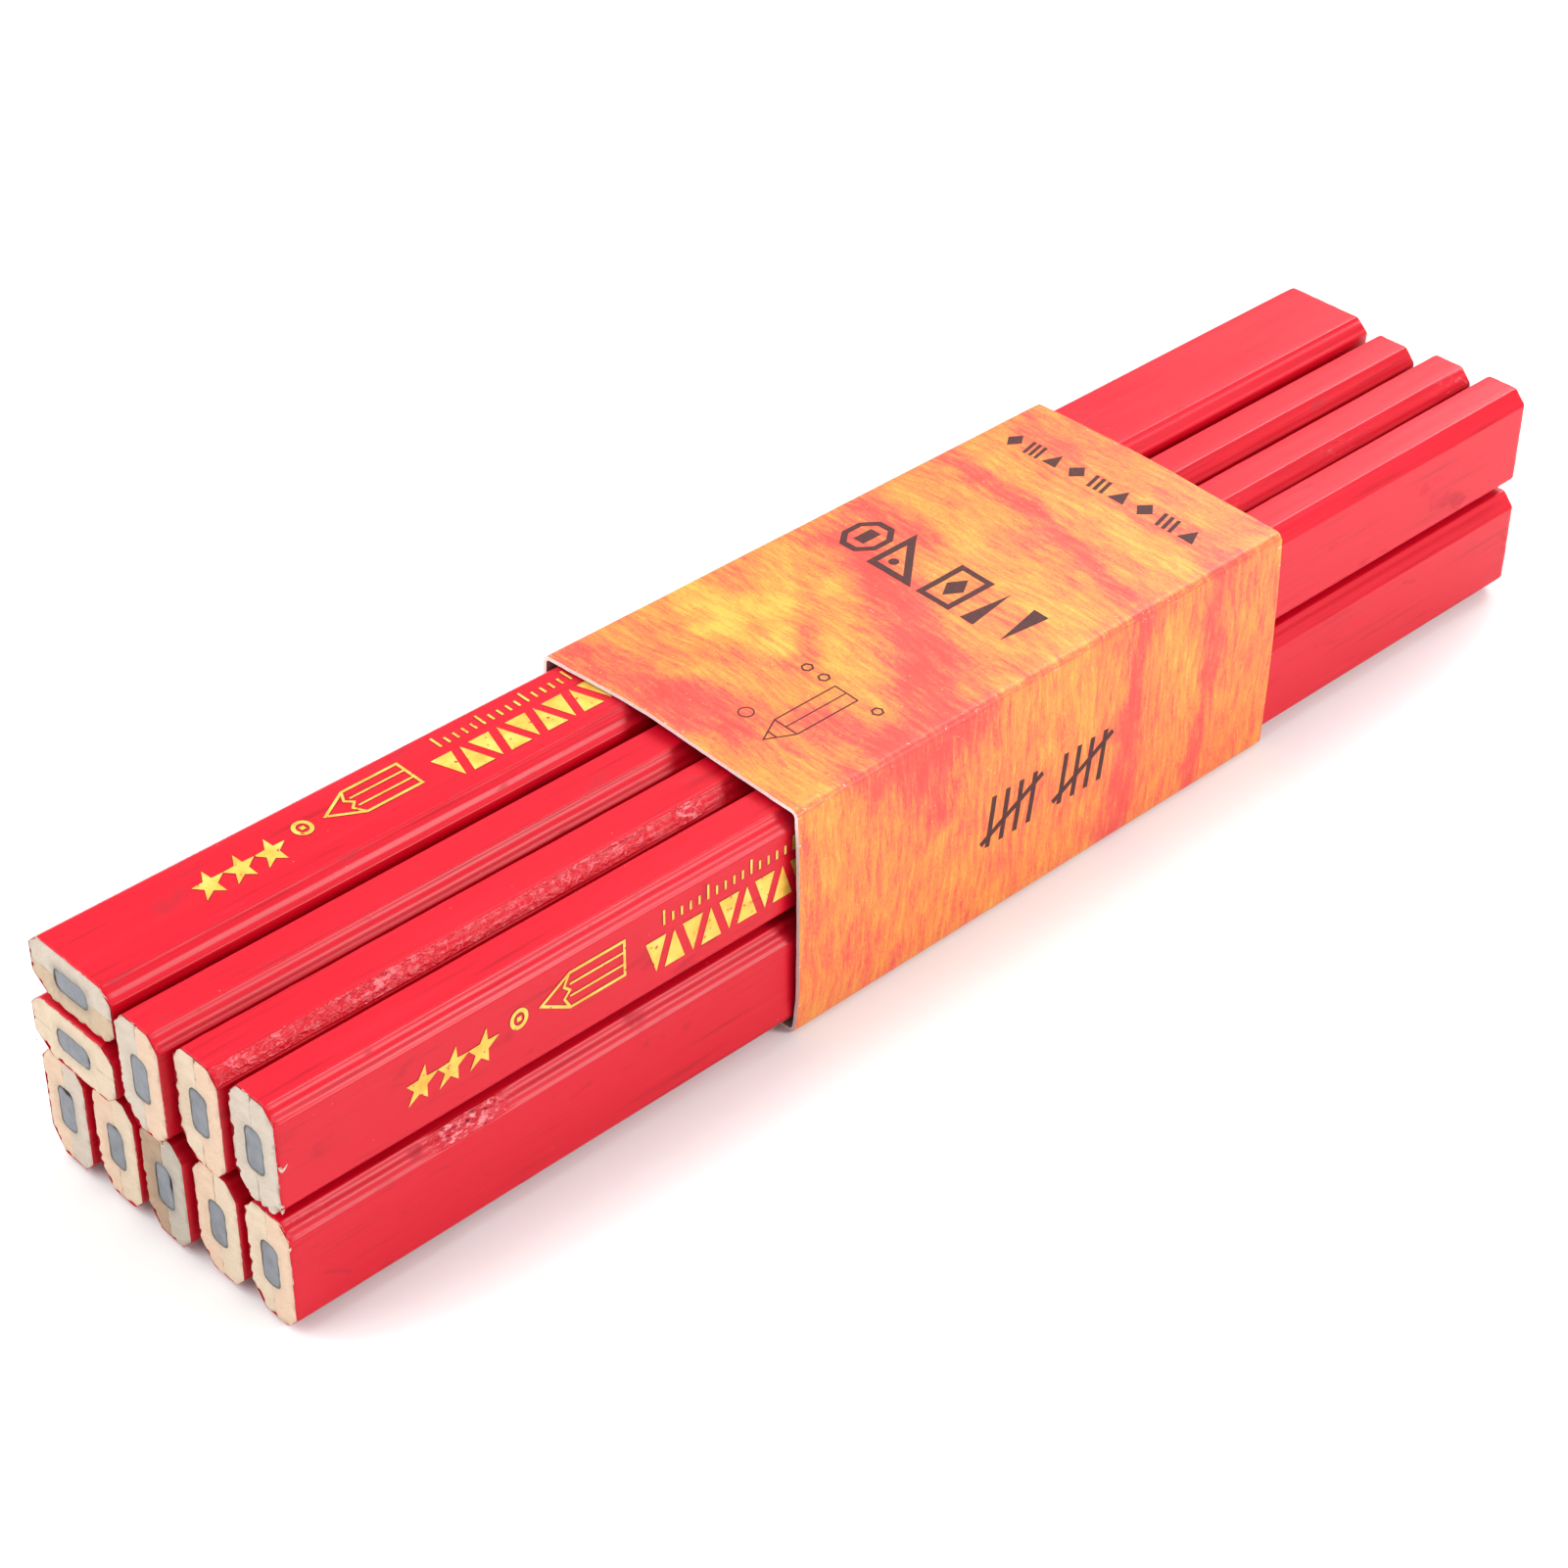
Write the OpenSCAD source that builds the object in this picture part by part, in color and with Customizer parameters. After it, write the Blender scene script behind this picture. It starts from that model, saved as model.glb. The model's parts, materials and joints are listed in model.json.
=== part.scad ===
// A pack of ten new octagonal carpenter pencils, held together by a folded card sleeve.
// X runs along the pencils, Y across the pack and Z up.
// The origin is the middle of the pack, on the surface that the pack lies on.

/* [Pencil] */
// Length of a new pencil, both ends sawn square
pencil_length = 175; // [120:1:250]
// Width of the pencil, measured along its broad faces
pencil_width = 12.8; // [12:0.1:13]
// Thickness of the pencil, between its broad faces
pencil_thickness = 6.6; // [6.4:0.1:7.5]
// How much of the width each chamfer takes
chamfer_along_width = 1.6; // [1.2:0.1:2]
// How much of the thickness each chamfer takes
chamfer_along_thickness = 1.4; // [1.1:0.1:1.8]
// Radius that softens the eight long edges
edge_radius = 0.9; // [0.4:0.1:1.1]
// Thickness of the built-up coats of lacquer
lacquer_thickness = 0.12; // [0.05:0.01:0.2]

/* [Lead] */
// Width of the lead, along the pencil's width
lead_width = 5.2; // [4:0.1:6]
// Thickness of the lead
lead_thickness = 2.5; // [2:0.1:3]
// Radius of the lead's corners
lead_radius = 0.9; // [0.3:0.1:0.9]

/* [Stack] */
// Space between neighbouring columns of pencils
column_gap = 0.6; // [0.6:0.05:1]
// Space between the bottom row and the pencils on it
row_gap = 0.45; // [0.3:0.05:0.8]
// Space between the two pencils that lie flat
flat_gap = 0.4; // [0.3:0.05:0.8]
// How far the pencils' ends stand out of line, each way
end_stagger = 1; // [0:0.1:3]

/* [Sleeve] */
// Length of the sleeve along the pencils
sleeve_length = 70.5; // [40:0.5:100]
// Distance of the sleeve's middle from the middle of the pack
sleeve_shift = 9.3; // [-20:0.1:20]
// Thickness of the card
card_thickness = 0.45; // [0.3:0.05:0.6]
// Slack between the card and the pencils at its sides and top
sleeve_slack = 0.35; // [0.3:0.05:0.8]
// Outside radius of the folds
fold_radius = 1.2; // [0.8:0.1:2]
// Height of the flap that closes the sleeve
flap_height = 11.5; // [6:0.5:11.5]
// Thickness of the glue between the flap and the side panel
glue_thickness = 0.1; // [0.05:0.01:0.15]

/* [Hidden] */
ARC_STEPS = 4;           // straight pieces in each rounded edge
UNDERLAY = 0.05;         // air between the bottom row and the card below it
CUT = 1;                 // overshoot of a cutting tool past the face it cuts
FLAP_SLIT = 0.12;        // open slit where the outer panel's free edge meets the top fold
GLUE_MARGIN = 1;         // bare card round the glue
FLAT_PLAY = 0.3;         // how far the lower flat pencil stands off its column

COLUMNS = 5;
column_pitch = pencil_thickness + column_gap;
bottom_z = card_thickness + UNDERLAY;
top_z = bottom_z + pencil_width + row_gap;
upper_flat_z = top_z + pencil_thickness + flat_gap;
flat_pencil_y = column_y(3) + (pencil_width - pencil_thickness) / 2;

columns_half_width = (COLUMNS * column_pitch - column_gap) / 2;
flats_half_width = flat_pencil_y + FLAT_PLAY + pencil_width / 2 + glue_thickness + card_thickness;
sleeve_half_width = max(columns_half_width, flats_half_width) + sleeve_slack + card_thickness;
upright_roof = top_z + pencil_width + sleeve_slack + card_thickness;
flat_roof = upper_flat_z + pencil_thickness + sleeve_slack + card_thickness;
roof_ridge_y = flat_pencil_y - pencil_width / 2 + chamfer_along_width;

// Middle of a column, counted from the -Y side of the pack
function column_y(column) = (column - (COLUMNS - 1) / 2) * column_pitch;

// One row for each pencil: name, whether it lies flat, middle in Y, underside in Z,
// and its share of the stagger along X. The small steps in Y are the pencils' own play.
PENCILS = [
    ["bottom_pencil_1", false, column_y(0) - 0.2, bottom_z, 1],
    ["bottom_pencil_2", false, column_y(1) - 0.1, bottom_z, 0.7],
    ["bottom_pencil_3", false, column_y(2) - 0.15, bottom_z, 0.1],
    ["bottom_pencil_4", false, column_y(3) - 0.1, bottom_z, -0.05],
    ["bottom_pencil_5", false, column_y(4) - 0.05, bottom_z, -0.4],
    ["top_pencil_1", false, column_y(0) + 0.3, top_z, 0.95],
    ["top_pencil_2", false, column_y(1) + 0.15, top_z, 0.3],
    ["top_pencil_3", false, column_y(2) + 0.1, top_z, -0.8],
    ["flat_pencil_lower", true, flat_pencil_y + FLAT_PLAY, top_z, -1],
    ["flat_pencil_upper", true, flat_pencil_y, upper_flat_z, -0.6],
];
NAME = 0;
LIES_FLAT = 1;
MIDDLE_Y = 2;
UNDERSIDE_Z = 3;
SHIFT_X = 4;

PIECES = ["front_slat", "back_slat", "lead", "lacquer"];

// ---- outlines ----

function unit(v) = v / norm(v);
function before(points, i) = points[(i + len(points) - 1) % len(points)];
function after(points, i) = points[(i + 1) % len(points)];

// Half of the angle between the two edges that meet at a corner
function half_corner(p, a, b) = acos(unit(a - p) * unit(b - p)) / 2;

// Direction from a corner into the outline
function inward(p, a, b) = unit(unit(a - p) + unit(b - p));

// A convex outline moved inwards by a distance
function inset(points, distance) = [
    for (i = [0 : len(points) - 1])
        let (p = points[i], a = before(points, i), b = after(points, i))
        p + inward(p, a, b) * distance / sin(half_corner(p, a, b))
];

// A convex outline, counter-clockwise, with every corner turned into an arc
function rounded(points, radius) = [
    for (i = [0 : len(points) - 1])
        let (
            p = points[i],
            a = before(points, i),
            b = after(points, i),
            half = half_corner(p, a, b),
            centre = p + inward(p, a, b) * radius / sin(half),
            middle = atan2(p.y - centre.y, p.x - centre.x),
            reach = 90 - half
        )
        for (step = [0 : ARC_STEPS])
            let (angle = middle - reach + 2 * reach * step / ARC_STEPS)
            centre + radius * [cos(angle), sin(angle)]
];

// Octagon of a pencil that stands on its narrow face, centred on its lead
function pencil_octagon() =
    let (
        y = pencil_thickness / 2,
        z = pencil_width / 2,
        y_flat = y - chamfer_along_thickness,
        z_flat = z - chamfer_along_width
    )
    [
        [y, -z_flat], [y, z_flat],
        [y_flat, z], [-y_flat, z],
        [-y, z_flat], [-y, -z_flat],
        [-y_flat, -z], [y_flat, -z],
    ];

function lead_rectangle() =
    let (y = lead_thickness / 2, z = lead_width / 2)
    [[y, -z], [y, z], [-y, z], [-y, -z]];

// Outside of the sleeve: its roof is higher over the two flat pencils
function sleeve_outline() = [
    [sleeve_half_width, 0],
    [sleeve_half_width, flat_roof],
    [roof_ridge_y, flat_roof],
    [-sleeve_half_width, upright_roof],
    [-sleeve_half_width, 0],
];

// ---- building blocks ----

// A solid of the given (Y, Z) outline, centred along X
module bar(points, length) {
    rotate([90, 0, 90])
        linear_extrude(height = length, center = true)
            polygon(points);
}

module lead_bar(length) {
    bar(rounded(lead_rectangle(), lead_radius), length);
}

module wood_bar(length) {
    bar(rounded(inset(pencil_octagon(), lacquer_thickness), edge_radius - lacquer_thickness), length);
}

// Puts a pencil's piece, modelled upright round the origin, in its place in the pack
module in_pack(pencil) {
    height = pencil[LIES_FLAT] ? pencil_thickness : pencil_width;
    translate([pencil[SHIFT_X] * end_stagger, pencil[MIDDLE_Y], pencil[UNDERSIDE_Z] + height / 2])
        rotate([pencil[LIES_FLAT] ? 90 : 0, 0, 0])
            children();
}

// ---- pieces of a pencil ----

// One of the two glued slats, grooved for its half of the lead; side is -1 or 1 along Y
module slat(side) {
    color("burlywood")
        difference() {
            wood_bar(pencil_length);
            lead_bar(pencil_length + 2 * CUT);
            translate([0, -side * pencil_thickness / 2, 0])
                cube([pencil_length + 2 * CUT, pencil_thickness, pencil_width + 2 * CUT], center = true);
        }
}

module lead() {
    color("slategray")
        lead_bar(pencil_length);
}

module lacquer() {
    color([0.9, 0.1, 0.16])
        difference() {
            bar(rounded(pencil_octagon(), edge_radius), pencil_length);
            wood_bar(pencil_length + 2 * CUT);
        }
}

// ---- sleeve ----

// One folded blank: flap, roof, -Y panel, floor and the outer +Y panel glued over the flap
module sleeve_card() {
    inner_side = sleeve_half_width - card_thickness;
    inner_roof = flat_roof - card_thickness;
    color([0.98, 0.6, 0.32])
        translate([sleeve_shift, 0, 0]) {
            difference() {
                bar(rounded(sleeve_outline(), fold_radius), sleeve_length);
                bar(
                    rounded(inset(sleeve_outline(), card_thickness), fold_radius - card_thickness),
                    sleeve_length + 2 * CUT
                );
                translate([0, inner_side + card_thickness / 2, flat_roof - fold_radius - FLAP_SLIT / 2])
                    cube([sleeve_length + 2 * CUT, 2 * card_thickness, FLAP_SLIT], center = true);
            }
            translate([
                -sleeve_length / 2,
                inner_side - glue_thickness - card_thickness,
                inner_roof - flap_height
            ])
                cube([sleeve_length, card_thickness, flap_height + card_thickness / 2]);
        }
}

// Glue between the flap and the outer +Y panel
module sleeve_glue() {
    color("beige")
        translate([
            sleeve_shift - sleeve_length / 2 + GLUE_MARGIN,
            sleeve_half_width - card_thickness - glue_thickness,
            flat_roof - card_thickness - flap_height + GLUE_MARGIN
        ])
            cube([
                sleeve_length - 2 * GLUE_MARGIN,
                glue_thickness,
                flap_height - fold_radius - GLUE_MARGIN
            ]);
}

// ---- the pack ----

for (pencil = PENCILS) {
    in_pack(pencil) slat(-1);
    in_pack(pencil) slat(1);
    in_pack(pencil) lead();
    in_pack(pencil) lacquer();
}
sleeve_card();
sleeve_glue();
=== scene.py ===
"""Looks of a pack of ten red carpenter pencils held by a printed card sleeve.

Lengths in this script are in millimetres until a mesh is made: Shape.build() turns them into metres.
A pencil is modelled round its own axis: x along it, u across its thickness, v across its width.
"""
import json
import math

import bmesh
import bpy
import numpy as np
from mathutils import Matrix, Vector, noise

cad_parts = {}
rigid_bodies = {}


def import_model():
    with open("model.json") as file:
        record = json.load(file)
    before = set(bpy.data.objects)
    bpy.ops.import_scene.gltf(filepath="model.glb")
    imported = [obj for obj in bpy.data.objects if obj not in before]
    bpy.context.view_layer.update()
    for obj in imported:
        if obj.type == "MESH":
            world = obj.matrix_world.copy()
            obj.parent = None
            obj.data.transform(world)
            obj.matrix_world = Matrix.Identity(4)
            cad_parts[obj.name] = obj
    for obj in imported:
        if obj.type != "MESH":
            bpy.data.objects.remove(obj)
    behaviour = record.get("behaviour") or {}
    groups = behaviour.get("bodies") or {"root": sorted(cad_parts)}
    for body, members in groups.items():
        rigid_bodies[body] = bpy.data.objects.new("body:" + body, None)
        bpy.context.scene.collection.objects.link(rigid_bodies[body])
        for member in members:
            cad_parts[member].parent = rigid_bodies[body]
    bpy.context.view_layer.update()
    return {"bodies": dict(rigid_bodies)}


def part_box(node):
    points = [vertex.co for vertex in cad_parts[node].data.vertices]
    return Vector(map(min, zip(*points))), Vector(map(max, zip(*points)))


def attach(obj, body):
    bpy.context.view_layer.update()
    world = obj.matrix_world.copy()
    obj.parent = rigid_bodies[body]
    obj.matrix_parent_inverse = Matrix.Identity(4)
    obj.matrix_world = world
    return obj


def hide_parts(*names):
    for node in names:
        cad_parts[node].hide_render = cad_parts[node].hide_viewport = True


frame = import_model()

MM = 0.001

# ---- pencil dimensions that the frame's boxes don't give ----
CHAMFER_WIDTH = 1.6
CHAMFER_THICKNESS = 1.4
EDGE_RADIUS = 0.7
DEEP_WIDTH = 2.5
DEEP_THICKNESS = 1.8
LACQUER = 0.12
RIB_PITCH = 1.25
LEAD_RADIUS = 0.95
PENCILS = [name for name in frame["bodies"] if name != "sleeve"]


def mm_box(node):
    """Lowest and highest corner of a CAD node, in millimetres."""
    low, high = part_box(node)
    return np.array(low) / MM, np.array(high) / MM


def wobble(x, y=0.0, z=0.0, seed=0.0):
    """Smooth noise from about -1 to 1, one hill about every unit."""
    return noise.noise(Vector((x + 17.3 * seed, y - 5.1 * seed, z + 3.7 * seed)))


# ---- mesh building ----


def add_object(name, data):
    """A new object in the scene."""
    made = bpy.data.objects.new(name, data)
    bpy.context.scene.collection.objects.link(made)
    return made


class Shape:
    """Points, faces and point values that become one mesh object."""

    def __init__(self):
        self.points = []
        self.faces = []
        self.slots = []
        self.values = {}

    def add(self, points, **values):
        """Adds points and returns their numbers. Each value is one number or one number a point."""
        start = len(self.points)
        self.points.extend(tuple(p) for p in points)
        for key, value in values.items():
            store = self.values.setdefault(key, {})
            for i in range(len(points)):
                store[start + i] = float(value[i]) if hasattr(value, "__len__") else float(value)
        return list(range(start, len(self.points)))

    def face(self, corners, slot=0):
        self.faces.append(tuple(corners))
        self.slots.append(slot)

    def skin(self, first, second, closed=False, slot=0):
        """Quads between two equal rows of points."""
        count = len(first)
        for i in range(count if closed else count - 1):
            j = (i + 1) % count
            self.face((first[i], first[j], second[j], second[i]), slot)

    def skins(self, rows, closed=False, slot=0):
        """Quads between each row of points and the next."""
        for first, second in zip(rows, rows[1:]):
            self.skin(first, second, closed, slot)

    def sheet(self, outside, inside, slots=(0, 0, 0)):
        """A closed sheet from two equal grids: slots are for its outer face, inner face and edges."""
        self.skins(outside, slot=slots[0])
        self.skins(inside, slot=slots[1])
        for side in (0, -1):
            self.skin([row[side] for row in outside], [row[side] for row in inside], slot=slots[2])
            self.skin(outside[side], inside[side], slot=slots[2])

    def build(self, name, materials, to_row=None, sharp=40):
        points = np.array(self.points, float)
        if to_row is not None:
            points = to_row(points)
        mesh = bpy.data.meshes.new(name)
        mesh.from_pydata((points * MM).tolist(), [], self.faces)
        for material in materials:
            mesh.materials.append(material)
        mesh.polygons.foreach_set("material_index", self.slots)
        for key, store in self.values.items():
            layer = mesh.attributes.new(key, "FLOAT", "POINT")
            layer.data.foreach_set("value", [store.get(i, 0.0) for i in range(len(points))])
        shell = bmesh.new()
        shell.from_mesh(mesh)
        bmesh.ops.recalc_face_normals(shell, faces=shell.faces)
        shell.to_mesh(mesh)
        shell.free()
        mesh.polygons.foreach_set("use_smooth", [True] * len(mesh.polygons))
        mesh.set_sharp_from_angle(angle=math.radians(sharp))
        return add_object(name, mesh)


def stations(start, end, fine, coarse, edge):
    """Places from start to end: a fine step near both ends, growing to a coarse one between them."""
    half = [0.0]
    middle = (end - start) / 2
    while half[-1] < middle:
        share = min(1.0, half[-1] / edge)
        half.append(half[-1] + fine + (coarse - fine) * share)
    half = np.array(half) * middle / half[-1]
    return np.concatenate([start + half, (end - half)[::-1][1:]])


def rounded_path(corners, radius, step, arc_steps):
    """An open path of straight stretches with rounded inner corners, as an array of 2-D points.
    Stretches are cut every step, and each corner's arc into arc_steps pieces."""
    corners = [np.array(c, float) for c in corners]
    knots = [(corners[0], corners[0], None)]
    for before, at, after in zip(corners, corners[1:], corners[2:]):
        a = (before - at) / np.linalg.norm(before - at)
        b = (after - at) / np.linalg.norm(after - at)
        half = math.acos(np.clip(a @ b, -1, 1)) / 2
        if half > math.pi / 2 - 0.03:
            knots.append((at, at, None))
            continue
        reach = radius / math.tan(half)
        centre = at + (a + b) / np.linalg.norm(a + b) * radius / math.sin(half)
        knots.append((at + a * reach, at + b * reach, centre))
    knots.append((corners[-1], corners[-1], None))
    path = [knots[0][0]]
    for (_, leave, _), (arrive, away, centre) in zip(knots, knots[1:]):
        length = np.linalg.norm(arrive - leave)
        pieces = max(1, int(math.ceil(length / step)))
        path += [leave + (arrive - leave) * i / pieces for i in range(1, pieces + 1)]
        if centre is None:
            continue
        start = math.atan2(*(arrive - centre)[::-1])
        sweep = math.atan2(*(away - centre)[::-1]) - start
        sweep = (sweep + math.pi) % (2 * math.pi) - math.pi
        for i in range(1, arc_steps + 1):
            angle = start + sweep * i / arc_steps
            path.append(centre + radius * np.array([math.cos(angle), math.sin(angle)]))
    return np.array(path)


def path_normals(path):
    """Unit normals of a path, to the right of its direction."""
    run = np.gradient(path, axis=0)
    run /= np.linalg.norm(run, axis=1)[:, None]
    return np.stack([run[:, 1], -run[:, 0]], axis=1)


# ---- node material helpers ----


class Nodes:
    """A material's node tree, written as short calls."""

    def __init__(self, name):
        self.material = bpy.data.materials.new(name)
        self.material.use_nodes = True
        self.tree = self.material.node_tree
        self.shader = self.tree.nodes["Principled BSDF"]
        self.place = self.node("ShaderNodeTexCoord").outputs["Object"]

    def node(self, kind, inputs=None, **settings):
        """A new node. Its inputs are set by name or by number."""
        made = self.tree.nodes.new(kind)
        for key, value in settings.items():
            setattr(made, key, value)
        for key, value in (inputs or {}).items():
            self.put(made.inputs[key], value)
        return made

    def put(self, socket, value):
        """Links an output to an input, or sets the input's own value."""
        if isinstance(value, bpy.types.NodeSocket):
            self.tree.links.new(value, socket)
        elif isinstance(value, tuple) and len(value) == 3 and socket.type == "RGBA":
            socket.default_value = (*value, 1.0)
        else:
            socket.default_value = value

    def math(self, operation, a, b=0.0, clamp=False):
        made = self.node("ShaderNodeMath", {0: a, 1: b}, operation=operation, use_clamp=clamp)
        return made.outputs[0]

    def times(self, a, b, clamp=False):
        return self.math("MULTIPLY", a, b, clamp)

    def moved(self, scale, centre=(0, 0, 0), turn=(0, 0, 0), source=None):
        """Coordinates about a centre, turned, then scaled. The centre is in metres, the scale per metre."""
        place = {0: source or self.place, 1: centre}
        shift = self.node("ShaderNodeVectorMath", place, operation="SUBTRACT").outputs[0]
        turned = self.node("ShaderNodeMapping", {"Vector": shift, "Rotation": turn}, vector_type="POINT")
        size = {0: turned.outputs[0], 1: scale}
        return self.node("ShaderNodeVectorMath", size, operation="MULTIPLY").outputs[0]

    def noise(self, scale, centre=(0, 0, 0), turn=(0, 0, 0), source=None,
              detail=4.0, roughness=0.55, distortion=0.0):
        """Cloudy noise with scale hills a metre, or a unit of the source, along each axis."""
        made = self.node("ShaderNodeTexNoise", {
            "Vector": self.moved(scale, centre, turn, source),
            "Scale": 1.0,
            "Detail": detail,
            "Roughness": roughness,
            "Distortion": distortion,
        })
        return made.outputs["Fac"]

    def cells(self, scale, source=None):
        """Distance from the nearest of many scattered points."""
        inputs = {"Vector": self.moved(scale, source=source), "Scale": 1.0}
        return self.node("ShaderNodeTexVoronoi", inputs, feature="F1").outputs["Distance"]

    def ramp(self, value, low, high):
        """0 below low and 1 above high, or the other way round if low is above high."""
        made = self.node("ShaderNodeMapRange", {
            "Value": value,
            "From Min": min(low, high),
            "From Max": max(low, high),
            "To Min": 1.0 if low > high else 0.0,
            "To Max": 0.0 if low > high else 1.0,
        }, interpolation_type="SMOOTHSTEP")
        return made.outputs["Result"]

    def colours(self, value, stops):
        """A colour ramp through (place, colour) stops."""
        made = self.node("ShaderNodeValToRGB", {0: value})
        band = made.color_ramp
        while len(band.elements) < len(stops):
            band.elements.new(1.0)
        for element, (at, colour) in zip(band.elements, stops):
            element.position = at
            element.color = (*colour, 1.0)
        return made.outputs[0]

    def sum(self, base, *parts):
        """A base value plus every (value, weight) part."""
        for value, weight in parts:
            base = self.math("ADD", base, self.times(value, weight))
        return base

    def mix(self, amount, a, b):
        """Colour a, turned into colour b by amount."""
        colours = {0: amount, 6: a, 7: b}
        return self.node("ShaderNodeMix", colours, data_type="RGBA", clamp_factor=True).outputs[2]

    def tint(self, colour, *layers):
        """The colour, turned towards each (mask, amount, shade) by amount where the mask is 1."""
        for mask, amount, shade in layers:
            colour = self.mix(self.times(mask, amount), colour, shade)
        return colour

    def attribute(self, name):
        return self.node("ShaderNodeAttribute", attribute_name=name).outputs["Fac"]

    def join(self, x, y, z=0.0):
        return self.node("ShaderNodeCombineXYZ", {0: x, 1: y, 2: z}).outputs[0]

    def bump(self, *layers):
        """Stacks (height, depth in millimetres) layers and drives the shader's normal with them."""
        last = None
        for height, depth in layers:
            inputs = {"Height": height, "Distance": depth * MM, "Strength": 1.0}
            if last is not None:
                inputs["Normal"] = last
            last = self.node("ShaderNodeBump", inputs).outputs[0]
        self.put(self.shader.inputs["Normal"], last)

    def surface(self, **values):
        """Sets or links the shader's own inputs; underscores in a name stand for spaces."""
        for key, value in values.items():
            self.put(self.shader.inputs[key.replace("_", " ")], value)
        return self.material


# ---- materials ----

RED = (0.47, 0.002, 0.013)
DEEP_RED = (0.34, 0.001, 0.008)
PALE_RED = (0.53, 0.008, 0.024)
SMUDGE_RED = (0.16, 0.004, 0.014)
SPECK_PINK = (0.688, 0.29, 0.29)
TORN_PINK = (0.638, 0.159, 0.181)
FLAKE_PINK = (0.66, 0.20, 0.22)
FLAKE_DARK = (0.06, 0.002, 0.006)


def lacquer_material():
    """Red lacquer over planed wood: long streaks, dust, smudges, ribbed and wrinkled chamfers."""
    m = Nodes("red_lacquer")
    streaks = m.noise((60, 1500, 1500), detail=6)
    broad = m.noise((25, 260, 260), detail=3)
    smudge = m.ramp(m.noise((190, 380, 380), detail=6, distortion=0.6), 0.60, 0.74)
    specks = m.ramp(m.cells((420, 420, 420)), 0.035, 0.015)
    wrinkle = m.attribute("wrinkle")
    peel = m.noise((900, 1500, 1500), detail=3, distortion=1.2)
    across = m.attribute("chamfer_place")
    shift = m.times(m.noise((28, 0, 0), detail=3), 1.6)
    ribs = m.math("SINE", m.math("ADD", m.times(across, 2 * math.pi / RIB_PITCH), shift))
    on_chamfer = m.ramp(m.math("ABSOLUTE", across), 1.35, 0.95)
    ribs = m.times(ribs, on_chamfer)
    grain = m.times(streaks, m.math("SUBTRACT", 1.0, m.times(on_chamfer, 0.8)))
    peeling = m.times(peel, m.ramp(wrinkle, 0.35, 1.1))
    torn = m.times(m.ramp(peel, 0.54, 0.66), m.ramp(wrinkle, 0.45, 0.95))
    flakes = m.noise((1300, 2600, 2600), detail=4)
    scar = m.ramp(wrinkle, 0.95, 1.35)
    colour = m.tint(
        m.colours(streaks, [(0.29, DEEP_RED), (0.43, RED), (0.60, RED), (0.76, PALE_RED)]),
        (m.ramp(broad, 0.45, 0.75), 0.25, PALE_RED),
        (smudge, 0.32, SMUDGE_RED),
        (specks, 0.5, SPECK_PINK),
        (torn, 0.55, TORN_PINK),
        (scar, m.ramp(flakes, 0.50, 0.62), FLAKE_PINK),
        (scar, m.ramp(flakes, 0.40, 0.33), FLAKE_DARK),
    )
    rough = m.sum(0.27, (broad, 0.16), (smudge, 0.15))
    m.bump((grain, 0.007), (broad, 0.03), (ribs, 0.045), (peeling, 0.22))
    return m.surface(Base_Color=colour, Roughness=rough, Specular_IOR_Level=0.24)


GRAPHITE_DUST = (0.100, 0.096, 0.092)
SOIL = (0.110, 0.075, 0.050)


def wood_material(name, pale, dark, grain, turn, centre, stain):
    """Bare sawn wood: growth rings and saw scratches on the end, graphite dust round the lead."""
    m = Nodes(name)
    centre_m = tuple(c * MM for c in centre)
    rings = m.noise((40, 260 * grain, 1500 * grain), centre_m, (turn, 0, 0), detail=4, distortion=0.8)
    mottle = m.noise((300, 700, 700), centre_m, detail=5)
    pores = m.noise((60, 5200, 5200), centre_m, detail=2)
    scratch = m.noise((200, 900, 9000), centre_m, (turn * 0.4 + 0.5, 0, 0), detail=2)
    middle = tuple((a + b) / 2 for a, b in zip(pale, dark))
    share = m.sum(m.times(rings, 0.5), (mottle, 0.5))
    colour = m.tint(
        m.colours(share, [(0.22, pale), (0.55, middle), (0.85, dark)]),
        (m.ramp(pores, 0.62, 0.75), 0.45, tuple(0.55 * c for c in dark)),
        (m.ramp(scratch, 0.62, 0.74), 0.22, tuple(0.6 * c for c in dark)),
    )
    dust = m.times(m.attribute("near_lead"), m.sum(0.25, (mottle, 1.1)))
    colour = m.mix(m.times(dust, stain, clamp=True), colour, GRAPHITE_DUST)
    colour = m.mix(m.attribute("soil"), colour, SOIL)
    m.bump((pores, 0.05), (scratch, 0.05), (rings, 0.03), (mottle, 0.06))
    return m.surface(Base_Color=colour, Roughness=0.78, Specular_IOR_Level=0.25)


DARK_LEAD = (0.105, 0.115, 0.130)
LEAD = (0.150, 0.162, 0.180)
PALE_LEAD = (0.195, 0.207, 0.224)


def lead_material():
    """Graphite and clay, cut across: grey, faintly shiny, scratched, with painted shade in a thin ring at
    the edge for the gap round the lead.
    """
    m = Nodes("graphite_lead")
    mottle = m.noise((900, 900, 900), detail=5)
    scratch = m.noise((300, 5200, 700), turn=(0.5, 0, 0), detail=3)
    colour = m.colours(mottle, [(0.25, DARK_LEAD), (0.5, LEAD), (0.8, PALE_LEAD)])
    colour = m.tint(colour, (m.ramp(scratch, 0.60, 0.72), 0.5, (0.050, 0.050, 0.058)))
    # Painted shade: the outer ring of each end is darkened for the thin gap between lead and wood.
    colour = m.mix(m.attribute("rim"), colour, (0.051, 0.043, 0.04))
    m.bump((scratch, 0.05), (mottle, 0.03))
    rough = m.sum(0.36, (mottle, 0.25))
    return m.surface(Base_Color=colour, Roughness=rough, Metallic=0.15)


DEEP_GOLD = (0.64, 0.32, 0.032)
GOLD = (0.744, 0.456, 0.068)
PALE_GOLD = (0.776, 0.56, 0.144)


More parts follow.
